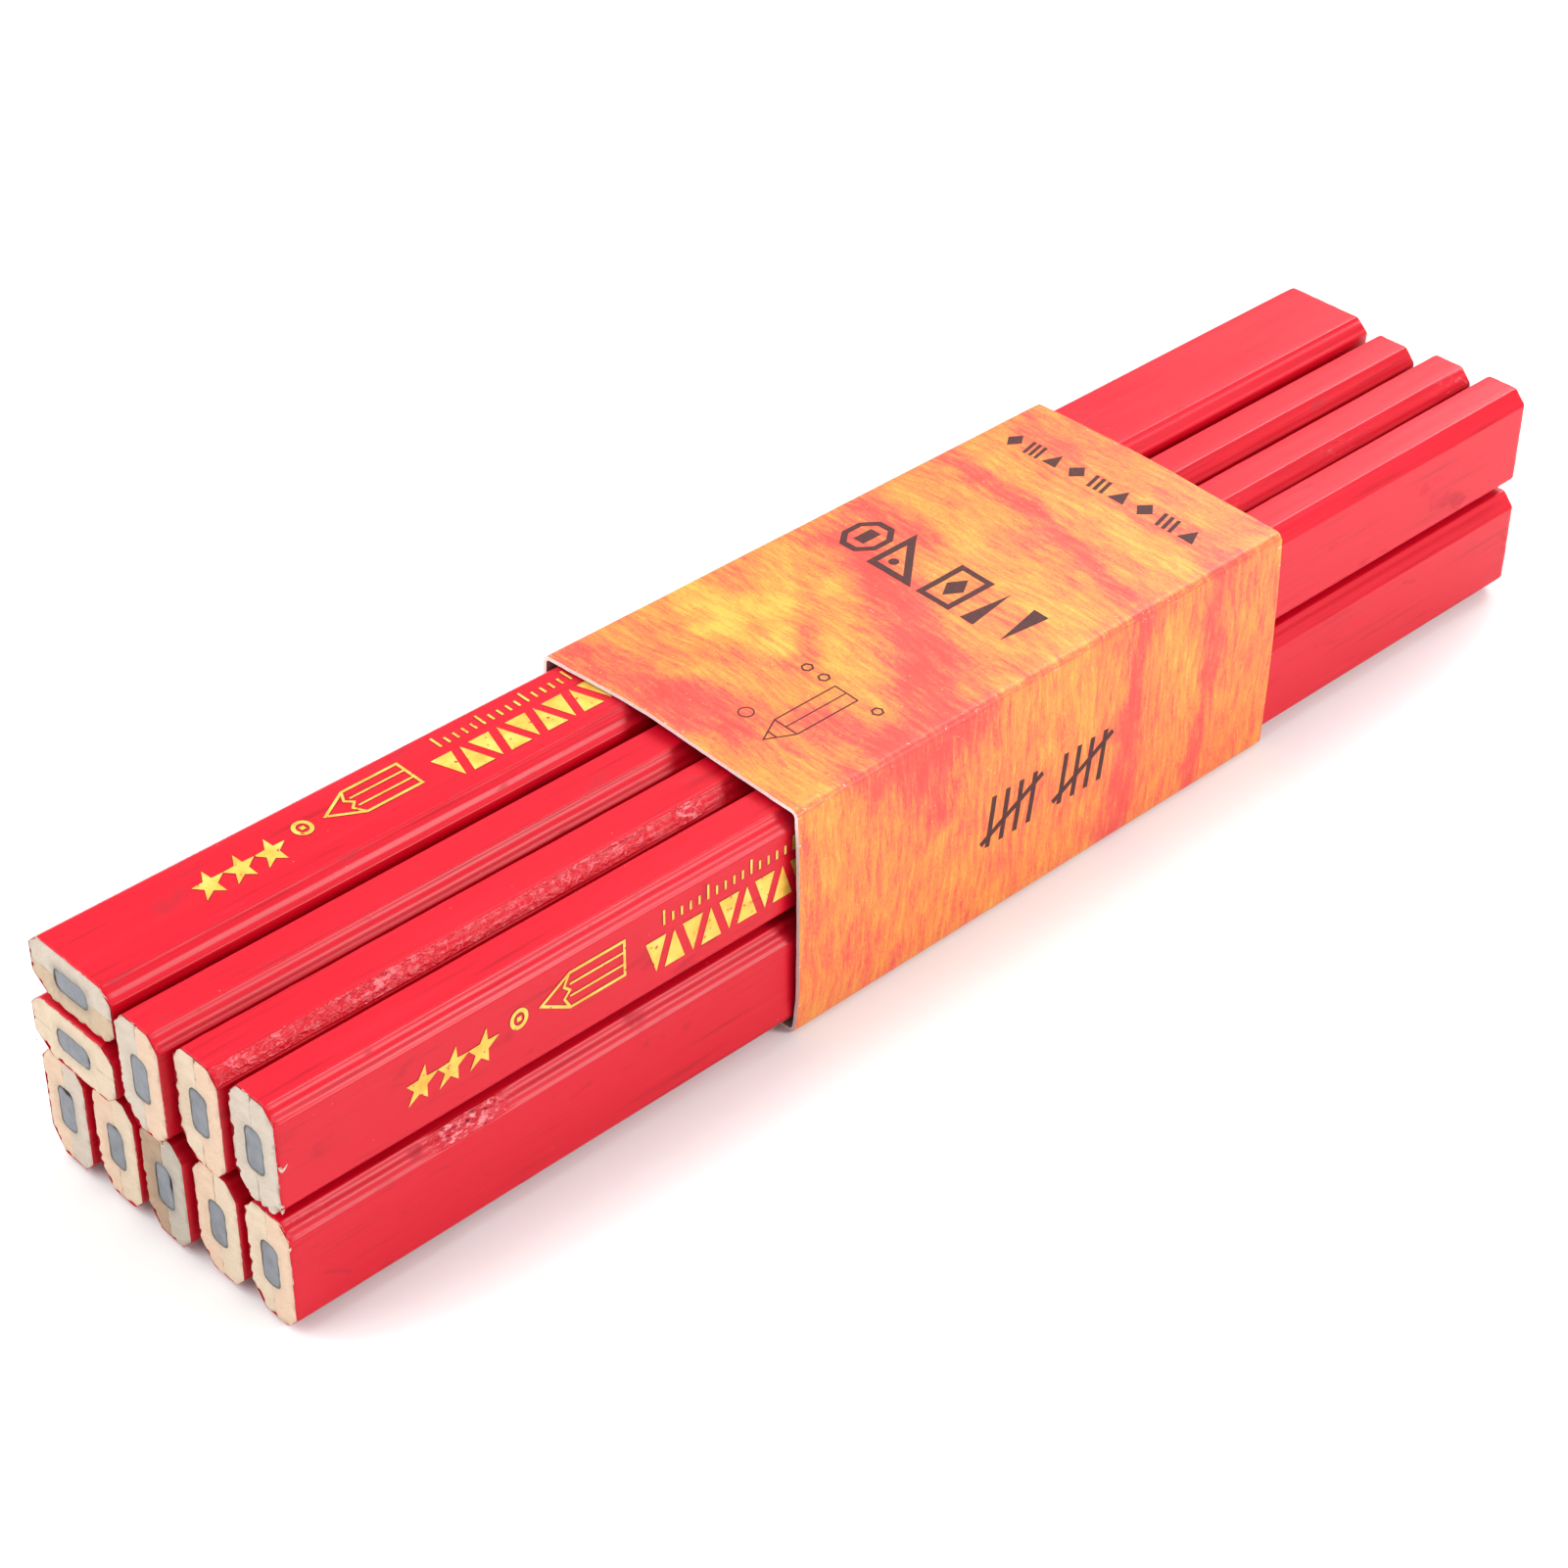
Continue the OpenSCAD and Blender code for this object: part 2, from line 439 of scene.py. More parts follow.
def foil_material():
    """Hot-stamped gold foil, broken up where it didn't take."""
    m = Nodes("gold_foil")
    patches = m.noise((1500, 1500, 1500), detail=5)
    worn = m.ramp(patches, 0.62, 0.68)
    tone = m.noise((500, 500, 500), detail=2)
    colour = m.colours(tone, [(0.3, DEEP_GOLD), (0.55, GOLD), (0.8, PALE_GOLD)])
    colour = m.mix(worn, colour, RED)
    m.bump((patches, 0.02))
    metal = m.times(m.math("SUBTRACT", 1.0, worn), 0.35)
    return m.surface(Base_Color=colour, Roughness=0.42, Metallic=metal)


DEEP_CORAL = (0.56, 0.040, 0.030)
CORAL = (0.58, 0.070, 0.042)
ORANGE = (0.60, 0.140, 0.034)
AMBER = (0.61, 0.215, 0.034)
YELLOW = (0.62, 0.330, 0.045)
PRINT_STOPS = [(0.57, DEEP_CORAL), (0.68, CORAL), (0.77, ORANGE), (0.88, AMBER), (1.0, YELLOW)]


def print_material():
    """Printed wood figure on card: flame bands, streaks across the pack, specks, scuffed folds, and painted
    shade in a broken double line beside the front fold.
    """
    m = Nodes("printed_card")
    x = m.attribute("across")
    s = m.attribute("along")
    flat = m.join(x, s)
    bend = m.noise((0.05, 0.04, 1), source=flat, detail=2)
    warped = m.join(m.sum(x, (bend, 5.0)), s)
    streaks = m.noise((1.5, 0.19, 1), source=warped, detail=6, roughness=0.64)
    fibres = m.noise((6.0, 0.60, 1), source=warped, detail=4, roughness=0.6)
    patches = m.noise((0.20, 0.13, 1), source=flat, detail=3, distortion=0.8)
    grain = m.noise((4.2, 2.0, 1), source=warped, detail=4, roughness=0.75)
    figure = m.attribute("figure")
    tone = m.times(streaks, 0.62)
    tone = m.sum(tone, (grain, 0.40), (fibres, 0.30), (patches, 0.25), (figure, 0.135))
    specks = m.ramp(m.cells((1.3, 1.3, 1), source=flat), 0.13, 0.05)
    gate = m.ramp(m.noise((0.3, 0.3, 1), source=flat, detail=2), 0.50, 0.62)
    broken = m.ramp(m.noise((0.8, 3.0, 1), source=flat, detail=3), 0.34, 0.52)
    # Painted shade: a darker, broken line on each side of the front fold.
    crease = m.times(m.attribute("crease"), broken)
    colour = m.tint(
        m.colours(tone, PRINT_STOPS),
        (m.times(specks, gate), 0.75, (0.72, 0.50, 0.18)),
        (crease, 0.6, (0.536, 0.033, 0.025)),
    )
    scuffs = m.ramp(m.noise((1.6, 1.6, 1), source=flat, detail=5, roughness=0.7), 0.60, 0.68)
    scuffs = m.times(scuffs, m.attribute("wear"), clamp=True)
    colour = m.mix(scuffs, colour, (0.674, 0.58, 0.536))
    pulp = m.noise((8, 8, 1), source=flat, detail=3)
    m.bump((fibres, 0.012), (pulp, 0.02), (scuffs, 0.03))
    rough = m.sum(0.40, (scuffs, 0.35))
    return m.surface(Base_Color=colour, Roughness=rough, Specular_IOR_Level=0.32)


def board_material(name, pale, dark):
    """The card's own pulp: grey inside, near white along a cut."""
    m = Nodes(name)
    fibre = m.noise((3200, 3200, 3200), detail=6, roughness=0.7)
    cloud = m.noise((300, 300, 300), detail=3)
    colour = m.colours(fibre, [(0.3, dark), (0.6, pale)])
    colour = m.tint(colour, (cloud, 0.35, dark))
    m.bump((fibre, 0.05))
    return m.surface(Base_Color=colour, Roughness=0.88, Specular_IOR_Level=0.2)


def mottled_material(name, scale, detail, stops, depth, **finish):
    """A plain finish whose colour and height wander together."""
    m = Nodes(name)
    mottle = m.noise((scale, scale, scale), detail=detail)
    m.bump((mottle, depth))
    return m.surface(Base_Color=m.colours(mottle, stops), **finish)


def stamp_shade_material():
    """Painted shade round the foil: lacquer made darker along the edges of the foil, for the shadow at the
    stamp's pressed-in edges.
    """
    stops = [(0.35, (0.116, 0.009, 0.007)), (0.6, (0.304, 0.007, 0.012))]
    return mottled_material("scorched_lacquer", 1800, 4, stops, 0.02, Roughness=0.5, Specular_IOR_Level=0.3)


def ink_material():
    """Dark brown ink, a little uneven."""
    stops = [(0.25, (0.085, 0.020, 0.018)), (0.6, (0.045, 0.016, 0.016))]
    return mottled_material("brown_ink", 2200, 3, stops, 0.01, Roughness=0.6, Specular_IOR_Level=0.2)


def glue_material():
    """Dried glue, pale and uneven."""
    stops = [(0.3, (0.522, 0.464, 0.326)), (0.7, (0.623, 0.594, 0.507))]
    return mottled_material("dried_glue", 700, 4, stops, 0.05, Roughness=0.4)


LACQUER_PAINT = lacquer_material()
GRAPHITE = lead_material()
FOIL = foil_material()
# Painted shade for the pressed-in edges of the foil stamp.
STAMP_SHADE = stamp_shade_material()

# ---- pencils ----

WOOD_TONES = {
    "cream": ((0.57, 0.47, 0.355), (0.46, 0.345, 0.24)),
    "peach": ((0.59, 0.44, 0.325), (0.48, 0.325, 0.225)),
    "tan": ((0.48, 0.37, 0.26), (0.36, 0.25, 0.16)),
    "brown": ((0.36, 0.25, 0.165), (0.25, 0.16, 0.10)),
    "grey": ((0.41, 0.36, 0.30), (0.29, 0.25, 0.20)),
    "ash": ((0.50, 0.43, 0.36), (0.39, 0.32, 0.255)),
}
# For each pencil: tones of its front and back slat, how dusty the wood round the lead is,
# how wrinkled its lacquer is on the chamfers, how ragged its near end is,
# and where its lead leaves a gap: the angle round the lead in degrees and the depth.
CHARACTER = {
    "bottom_pencil_1": ("peach", "cream", 0.35, 0.45, 0.26, (20, 0.10)),
    "bottom_pencil_2": ("cream", "peach", 0.25, 0.25, 0.18, (200, 0.05)),
    "bottom_pencil_3": ("grey", "brown", 0.75, 0.25, 0.22, (150, 0.34)),
    "bottom_pencil_4": ("cream", "peach", 0.40, 0.25, 0.18, (100, 0.14)),
    "bottom_pencil_5": ("ash", "peach", 0.55, 0.25, 0.26, (105, 0.40)),
    "top_pencil_1": ("ash", "ash", 0.40, 0.30, 0.42, (265, 0.07)),
    "top_pencil_2": ("peach", "cream", 0.35, 1.00, 0.20, (90, 0.05)),
    "top_pencil_3": ("peach", "ash", 0.35, 0.35, 0.30, (270, 0.08)),
    "flat_pencil_lower": ("cream", "cream", 0.50, 0.25, 0.36, (85, 0.18)),
    "flat_pencil_upper": ("tan", "ash", 0.90, 0.35, 0.20, (262, 0.12)),
}
# Scars in the lacquer of the chamfers: places along the pencil, widths and depths.
SCARS = {
    "bottom_pencil_1": ((-66.5, 3.4, 2.2), (-84, 5, 0.25)),
    "top_pencil_2": ((-32.5, 0.9, 1.15), (-72, 10, 0.8), (-48, 14, 0.4)),
    "flat_pencil_upper": ((-62, 4, 0.3),),
}


def gauss(d, width):
    return math.exp(-((d / width) ** 2))


class Pencil:
    """One pencil's place, size and character, and the way from its own axes to the row's."""

    def __init__(self, name, number):
        low, high = mm_box(name + "_lacquer")
        self.name = name
        self.seed = number + 1
        self.flat = name.startswith("flat")
        self.centre = (low + high) / 2
        size = high - low
        self.length = size[0]
        self.thickness, self.width = (size[2], size[1]) if self.flat else (size[1], size[2])
        lead_low, lead_high = mm_box(name + "_lead")
        lead = lead_high - lead_low
        self.lead_thickness, self.lead_width = (lead[2], lead[1]) if self.flat else (lead[1], lead[2])
        (self.front_tone, self.back_tone, self.stain, self.wrinkle,
         self.ragged, self.gap) = CHARACTER[name]

    def to_row(self, points):
        """From the pencil's own axes to the row's, with the slight bow of a real pencil."""
        x, u, v = points.T
        u = u + np.array([0.07 * wobble(a / 55, seed=self.seed) for a in x])
        v = v + np.array([0.05 * wobble(a / 60, 4.0, seed=self.seed) for a in x])
        y, z = (-v, u) if self.flat else (u, v)
        return np.stack([x, y, z], axis=1) + self.centre

    def chamfer(self, side, top):
        """Thickness and width of one chamfer: each pencil has a deeper one low on its +Y side."""
        deep = not top and side == (-1 if self.flat else 1)
        return (DEEP_THICKNESS, DEEP_WIDTH) if deep else (CHAMFER_THICKNESS, CHAMFER_WIDTH)

    def swell(self, x, u, v):
        """How far the slow waves of the lacquer stand out at a point."""
        return 0.022 * wobble(x / 14, u / 2.5, v / 2.5, self.seed)

    def half_outline(self, side, inset, step):
        """Half of the octagon, from the top of the glue plane round one side to its foot."""
        u = self.thickness / 2 - inset
        v = self.width / 2 - inset
        cut = inset * (2 - math.sqrt(2))
        top_u, top_v = self.chamfer(side, True)
        foot_u, foot_v = self.chamfer(side, False)
        corners = [
            (0, v),
            (side * (u - top_u + cut), v),
            (side * u, v - top_v + cut),
            (side * u, foot_v - cut - v),
            (side * (u - foot_u + cut), -v),
            (0, -v),
        ]
        return rounded_path(corners, EDGE_RADIUS - inset, step, 5)

    def chamfer_place(self, outline):
        """Signed distance of outline points from the middle of their chamfer, held to 1.6 mm."""
        places = []
        for u, v in outline:
            cut_u, cut_v = self.chamfer(1 if u > 0 else -1, v > 0)
            gap_u = abs(u) - (self.thickness - cut_u) / 2
            gap_v = abs(v) - (self.width - cut_v) / 2
            places.append((gap_u * cut_u - gap_v * cut_v) / math.hypot(cut_u, cut_v))
        return np.clip(places, -1.6, 1.6)

    def lead_half(self, side, inset, count):
        """Half of the lead's outline in the same direction, cut into count points."""
        u = self.lead_thickness / 2 - inset
        v = self.lead_width / 2 - inset
        path = rounded_path([(0, v), (side * u, v), (side * u, -v), (0, -v)], LEAD_RADIUS - inset, 0.3, 6)
        return spread(path, count)


def closed_outline(half):
    """The closed outline that half(1) and half(-1) are the two sides of."""
    return np.concatenate([half(1)[:-1], half(-1)[::-1][:-1]])


def spread(path, count):
    """The path again, with count points at even distances."""
    reach = np.concatenate([[0], np.cumsum(np.linalg.norm(np.diff(path, axis=0), axis=1))])
    wanted = np.linspace(0, reach[-1], count)
    return np.stack([np.interp(wanted, reach, path[:, k]) for k in range(path.shape[1])], axis=1)


def end_relief(u, v, seed, amount):
    """How far a sawn end stands out at (u, v): broad waves, torn fibres and saw marks."""
    broad = 0.5 * wobble(u * 0.35, v * 0.35, seed=seed)
    torn = 0.35 * wobble(u * 1.7, v * 1.7, 5.0, seed=seed)
    saw = 0.15 * math.sin(3.1 * v + 1.1 * u + seed)
    return amount * (broad + torn + saw)


def make_lacquer(pencil):
    """The coat: a thin tube with softened, slightly ribbed chamfers and irregular rims."""
    shape = Shape()
    outline = closed_outline(lambda side: pencil.half_outline(side, 0.0, 0.9))
    inner = closed_outline(lambda side: pencil.half_outline(side, LACQUER, 0.9))
    closed = np.concatenate([outline[-1:], outline, outline[:1]])
    normals = -path_normals(closed)[1:-1]
    if (normals * outline).sum() < 0:
        normals = -normals
    slant = np.clip(1 - np.abs(np.abs(normals[:, 0]) - np.abs(normals[:, 1])) * 1.6, 0, 1)
    across = pencil.chamfer_place(outline)
    half = pencil.length / 2
    seed = pencil.seed
    rows = []
    for x in stations(-half, half, 0.25, 2.2, 14):
        edge = max(0.0, 1 - (half - abs(x)) / 0.5)
        ring = []
        for (u, v), (nu, nv), lean in zip(outline, normals, slant):
            swell = pencil.swell(x, u, v)
            rib = -0.05 * lean * (0.6 + 0.4 * wobble(x / 25, u, v, seed + 3))
            lump = 0.05 * pencil.wrinkle * lean * wobble(x / 1.6, u * 1.2, v * 1.2, seed + 5)
            out = swell + rib + lump - 0.05 * edge
            back = edge * (0.13 + 0.12 * wobble(u * 1.3, v * 1.3, x, seed + 9))
            place = x - math.copysign(max(0.0, back), x)
            ring.append((place, u + nu * out, v + nv * out))
        rough = pencil.wrinkle * (0.55 + 0.45 * wobble(x / 9, seed=seed + 7))
        rough += sum(depth * gauss(x - at, width) for at, width, depth in SCARS.get(pencil.name, ()))
        level = slant * (0.12 + rough)
        rows.append(shape.add(ring, wrinkle=np.clip(level + 0.03, 0, 1.6), chamfer_place=across))
    shape.skins(rows, closed=True)
    near = shape.add([(-half + 0.04, u, v) for u, v in inner], wrinkle=0, chamfer_place=1.6)
    far = shape.add([(half - 0.04, u, v) for u, v in inner], wrinkle=0, chamfer_place=1.6)
    shape.skin(near, far, closed=True)
    shape.skin(rows[0], near, closed=True)
    shape.skin(rows[-1], far, closed=True)
    piece = shape.build(pencil.name + "_coat", [LACQUER_PAINT], pencil.to_row, sharp=60)
    finish_piece(piece, pencil.name, "red_lacquer", pencil.name + "_lacquer")


SLAT_LAYERS = 12
SLAT_POINTS = 84
GLUE_RECESS = 0.03
CORE_START = 0.8


# Torn fibres at the near end: place (u, v), direction across the end, length.
SPLINTERS = {
    "top_pencil_1_front_slat": ((-3.15, 0.1, -0.2, 2.1), (-3.0, -4.1, -1.3, 0.7), (-3.1, -5.0, -0.6, 0.6)),
    "bottom_pencil_1_front_slat": ((-3.1, 4.0, 0.2, 0.6),),
    "flat_pencil_lower_front_slat": ((-2.4, -5.9, -2.6, 0.7),),
    "top_pencil_3_front_slat": ((-2.0, -5.9, -1.9, 0.6),),
}


def add_splinter(shape, pencil, u, v, direction, length):
    """A curled fibre that sticks out of a sawn end, as a tapered three-sided rod."""
    rings = []
    for i in range(8):
        share = i / 7
        thick = 0.22 * (1 - share) + 0.03
        turn = direction + 1.5 * share
        at_u = u - length * share * math.cos(turn * 0.5)
        at_v = v + length * share * math.sin(turn) * 0.8
        x = -pencil.length / 2 + 0.25 - 0.3 * math.sin(2.4 * share)
        rings.append(shape.add([
            (x + thick * a, at_u + thick * b, at_v + thick * c)
            for a, b, c in ((1, 0, 0), (-0.5, 0.6, 0.6), (-0.5, -0.6, -0.6))
        ]))
    shape.skins(rings, closed=True)
    shape.face(rings[0])
    shape.face(rings[-1])


def make_slat(pencil, side, node, tone):
    """One slat: a swept half octagon round half of the lead, with a rough sawn face at each end."""
    pale, dark = WOOD_TONES[tone]
    seed = pencil.seed + (0 if side < 0 else 40)
    turn = 0.5 * wobble(seed * 1.3, 2.0) + (math.pi / 2 if pencil.flat else 0)
    material = wood_material(
        node + "_wood", pale, dark, 1.0 + 0.3 * wobble(seed, 7.0), turn, pencil.centre, pencil.stain
    )
    outer = spread(pencil.half_outline(side, LACQUER + 0.01, 0.4), SLAT_POINTS)
    groove = pencil.lead_half(side, -0.02, SLAT_POINTS)
    lead_u = pencil.lead_thickness / 2
    lead_v = pencil.lead_width / 2
    shape = Shape()
    faces = []
    for end in (-1, 1):
        layers = []
        for layer in range(SLAT_LAYERS + 1):
            share = layer / SLAT_LAYERS
            row, near_lead, soil = [], [], []
            for i, (o, g) in enumerate(zip(outer, groove)):
                point = o + (g - o) * share
                u, v = point
                edge = max(0.0, 1 - share * 5)
                chip = edge * pencil.ragged * max(0.0, wobble(u * 1.4, v * 1.4, end * 3.0, seed + 11))
                seam = GLUE_RECESS if i in (0, SLAT_POINTS - 1) else 0.0
                out = end_relief(u, v, seed + end, 0.09) - chip * 2.0 - seam - 0.05 * edge * edge
                tear = 0.05 + 0.35 * pencil.ragged * wobble(u * 0.8, v * 0.8, end * 7.0, seed + 21)
                tear += 0.25 * pencil.ragged * wobble(u * 2.2, v * 2.2, end * 7.0, seed + 25)
                direction = point / np.linalg.norm(point)
                u, v = point + direction * min(tear, LACQUER * 0.8) if layer == 0 else point
                row.append((end * (pencil.length / 2 + out - 0.02), u, v))
                away = math.hypot(max(0, abs(u) - lead_u * 0.7), max(0, abs(v) - lead_v * 0.8))
                near_lead.append(max(0.0, 1 - away / 1.9) ** 2)
                stain = 0.55 * edge * max(0.0, wobble(u * 0.9, v * 0.9, end * 5.0, seed + 31))
                soil.append(stain + (0.12 + 0.35 * wobble(v * 0.8, end, 2.0, seed) if seam else 0.0))
            layers.append(shape.add(row, near_lead=near_lead, soil=soil))
        shape.skins(layers)
        faces.append(layers)
    near, far = faces
    core = []
    for x in (CORE_START - pencil.length / 2, pencil.length / 2 - CORE_START):
        core.append(shape.add([(x, *p) for p in spread(pencil.half_outline(side, 0.35, 0.4), SLAT_POINTS)]))
    shape.skins([near[0], *core, far[0]])
    shape.skin(near[-1], far[-1])
    for place in SPLINTERS.get(node, ()):
        add_splinter(shape, pencil, *place)
    for edge_index in (0, -1):
        middle = [core[0][edge_index], core[1][edge_index]]
        shape.face([row[edge_index] for row in near][::-1] + middle + [row[edge_index] for row in far])
    piece = shape.build(node + "_timber", [material], pencil.to_row)
    finish_piece(piece, pencil.name, "slat_wood" if side < 0 else "slat_wood_pale", node)


LEAD_RINGS = 7
LEAD_POINTS = 34


def make_lead(pencil):
    """The lead: scratched and slightly domed at its ends, shrunk from its groove where it left a gap."""
    shape = Shape()
    seed = pencil.seed
    outline = closed_outline(lambda side: pencil.lead_half(side, 0.03, LEAD_POINTS))
    gap_angle, gap_depth = pencil.gap
    toward = np.array([math.cos(math.radians(gap_angle)), math.sin(math.radians(gap_angle))])
    caps = []
    for end in (-1, 1):
        rings = []
        for ring in range(LEAD_RINGS):
            share = 1 - ring / LEAD_RINGS
            row = []
            for u, v in outline:
                flat = np.array([u / (pencil.lead_thickness / 2), v / (pencil.lead_width / 2)])
                facing = max(0.0, float(flat @ toward) / np.linalg.norm(flat)) ** 6
                shrink = 1 - facing * gap_depth / np.linalg.norm((u, v)) * (1.4 if end < 0 else 0.6)
                pu, pv = u * shrink * share, v * shrink * share
                out = end_relief(pu, pv, seed + 60 + end, 0.05) - 0.05 * (share > 0.99)
                row.append((end * (pencil.length / 2 + out - 0.03), pu, pv))
            # The outer ring carries the painted shade of the gap round the lead.
            rings.append(shape.add(row, rim=0.85 if ring == 0 else 0.0))
        middle = shape.add([(end * (pencil.length / 2 - 0.02), 0, 0)], rim=0)[0]
        shape.skins(rings, closed=True)
        for i, a in enumerate(rings[-1]):
            shape.face((a, rings[-1][(i + 1) % len(outline)], middle))
        caps.append(rings[0])
    shape.skin(caps[0], caps[1], closed=True)
    piece = shape.build(pencil.name + "_core", [GRAPHITE], pencil.to_row)
    finish_piece(piece, pencil.name, "lead", pencil.name + "_lead")


def finish_piece(piece, body, slot, *nodes):
    """Puts a piece on its body and lets it stand for its CAD nodes. The slot, a finish name, is not used."""
    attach(piece, body)
    if nodes:
        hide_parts(*nodes)


# ---- flat marks: foil on the pencils and ink on the sleeve ----


def ring_of(count, radius_a, radius_b, at=(0, 0), turn=0.0):
    """Corners of a regular figure round a point."""
    angles = [2 * math.pi * (i + turn) / count for i in range(count)]
    return [(at[0] + radius_a * math.cos(a), at[1] + radius_b * math.sin(a)) for a in angles]


class Marks:
    """Flat figures drawn as filled outlines, then laid on a surface as thin closed plates."""

    def __init__(self, reach=0.8):
        self.plates = []
        self.reach = reach

    def line(self, points, width, closed=False):
        """A stroke along a path, as one plate a stretch, with mitred joints."""
        pts = [np.array(p, float) for p in points]
        if closed:
            chain = [pts[-1], *pts, pts[0], pts[1]]
        else:
            chain = [2 * pts[0] - pts[1], *pts, 2 * pts[-1] - pts[-2]]
        sides = []
        for before, p, after in zip(chain, chain[1:], chain[2:]):
            arrive = (p - before) / np.linalg.norm(p - before)
            leave = (after - p) / np.linalg.norm(after - p)
            normal = np.array([-(arrive + leave)[1], (arrive + leave)[0]])
            normal /= np.linalg.norm(normal)
            lean = max(0.35, float(normal @ np.array([-arrive[1], arrive[0]])))
            sides.append((p + normal * width / 2 / lean, p - normal * width / 2 / lean))
        for (a, b), (c, d) in zip(sides, sides[1:]):
            pieces = max(1, int(math.ceil(np.linalg.norm(c - a) / self.reach)))
            cuts = [k / pieces for k in range(pieces + 1)]
            self.plates.append([(a + (c - a) * k, b + (d - b) * k) for k in cuts])

    def fill(self, points):
        """A filled convex figure, cut into strips across its first axis."""
        pts = np.array(points, float)
        low, high = pts[:, 0].min(), pts[:, 0].max()
        pieces = max(2, int(math.ceil((high - low) / self.reach)))
        cuts = sorted(set([low, high, *pts[:, 0], *np.linspace(low, high, pieces + 1)]))
        strip = []
        for cut in cuts:
            hits = []
            for a, b in zip(pts, np.roll(pts, -1, axis=0)):
                if min(a[0], b[0]) - 1e-9 <= cut <= max(a[0], b[0]) + 1e-9:
                    if abs(a[0] - b[0]) < 1e-9:
                        hits += [a[1], b[1]]
                    else:
                        hits.append(a[1] + (b[1] - a[1]) * (cut - a[0]) / (b[0] - a[0]))
            top, foot = max(hits), min(hits)
            if top - foot < 0.01:
                top, foot = top + 0.005, foot - 0.005
            strip.append((np.array([cut, top]), np.array([cut, foot])))
        self.plates.append(strip)

    def build(self, name, material, surface, height, grow=0.0):
        """surface(a, b, h) gives the point at height h over the surface. grow widens every figure."""
        shape = Shape()
        for strip in self.plates:
            strip = [(a + (a - b) / np.linalg.norm(a - b) * grow, b + (b - a) / np.linalg.norm(a - b) * grow)
                     for a, b in strip]
            top = [shape.add([surface(*p, height) for p in side]) for side in zip(*strip)]
            foot = [shape.add([surface(*p, -height) for p in side]) for side in zip(*strip)]
            shape.skin(top[0], top[1])
            shape.skin(foot[0], foot[1])
            shape.skin(top[0], foot[0])
            shape.skin(top[1], foot[1])
            for k in (0, -1):
                shape.face((top[0][k], top[1][k], foot[1][k], foot[0][k]))
        return shape.build(name, [material], sharp=30)


FOIL_HEIGHT = 0.045
STAMP_START = -73.5


def star(marks, at, radius, lean):
    """A five-pointed star from five kites, leaning along the pencil."""
    for i in range(5):
        corners = [(0, 0)]
        for turn, reach in ((-36, 0.42), (0, 1.0), (36, 0.42)):
            angle = math.radians(72 * i + 90 + turn)
            corners.append((radius * reach * math.cos(angle), radius * reach * math.sin(angle)))
        marks.fill([(at[0] + a + lean * b, at[1] + b * 1.15) for a, b in corners])


def stamp_figures():
    """The foil stamp: stars, a small ring, an outlined pencil, triangles and a ruler's ticks."""
    marks = Marks(reach=6.0)
    for i in range(3):
        star(marks, (STAMP_START + 1.7 + 3.5 * i, 0.1), 1.85, 0.3)
    x, y = STAMP_START + 13.0, 1.1
    marks.line(ring_of(20, 0.85, 0.95, (x, y)), 0.42, closed=True)
    marks.line([(x - 0.25, y), (x + 0.25, y)], 0.5)
    tip = STAMP_START + 15.6
    neck, end = tip + 3.4, tip + 10
    marks.line([(tip, 1.0), (neck, 3.0), (end, 3.0), (end, -1.0), (neck, -1.0)], 0.30, closed=True)
    marks.line([(neck, 3.0), (tip + 2.7, 1.7), (neck, 1.0), (tip + 2.7, 0.3), (neck, -1.0)], 0.26)
    for y in (1.7, 0.3):
        marks.line([(neck, y), (end, y)], 0.22)
    for i in range(10):
        at = STAMP_START + 28.2 + 2.3 * i
        foot, tip = (-2.8, 1.0) if i % 2 else (1.0, -2.8)
        marks.fill([(at, foot), (at + 2.5, foot), (at + 1.25, tip)])
    for i in range(17):
        at = STAMP_START + 30.5 + 1.1 * i
        marks.line([(at, 2.2), (at, 3.9 if i % 5 == 0 else 3.2)], 0.26)
    return marks


def make_stamp(pencil, side, figures, sign):
    """Lays the stamp on the broad face on one side; sign turns it to read from either edge."""
    face_u = side * (pencil.thickness / 2)

    def surface(a, b, h):
        swell = pencil.swell(a, face_u, b * sign)
        return pencil.to_row(np.array([[a, face_u + side * (swell + h), b * sign]]))[0]

    # The second copy of the figures, wider and lower, is painted shade: a dark band round the foil for the
    # shadow at the stamp's pressed-in edges.
    for name, material, height, grow in (
        ("_foil_stamp", FOIL, FOIL_HEIGHT, 0.0),
        ("_stamp_edge", STAMP_SHADE, 0.5 * FOIL_HEIGHT, 0.09),
    ):
        piece = figures.build(pencil.name + name, material, surface, height, grow)
        finish_piece(piece, pencil.name, "red_lacquer")


figures = stamp_figures()
for number, name in enumerate(PENCILS):
    pencil = Pencil(name, number)
    make_lacquer(pencil)
    make_slat(pencil, -1, pencil.name + "_front_slat", pencil.front_tone)
    make_slat(pencil, 1, pencil.name + "_back_slat", pencil.back_tone)
    make_lead(pencil)
    side = -1 if name == "top_pencil_1" else 1
    make_stamp(pencil, side, figures, -1 if pencil.flat else 1)

# ---- sleeve ----

CARD = 0.45
GLUE = 0.1
FOLD_RADIUS = 0.9
SIDE_BULGE = 0.42
BACK_LEAN = 0.9
FLAP = 11.5
sleeve_low, sleeve_high = mm_box("sleeve_card")
HALF_WIDTH = sleeve_high[1]
ROOF = sleeve_high[2] - 0.15
LOW_ROOF = ROOF - 0.62
RIDGE_Y = 4.6
MOUTH_X = -26.0
DENT_X = -25.0
MOUTH_SKEW = 0.9


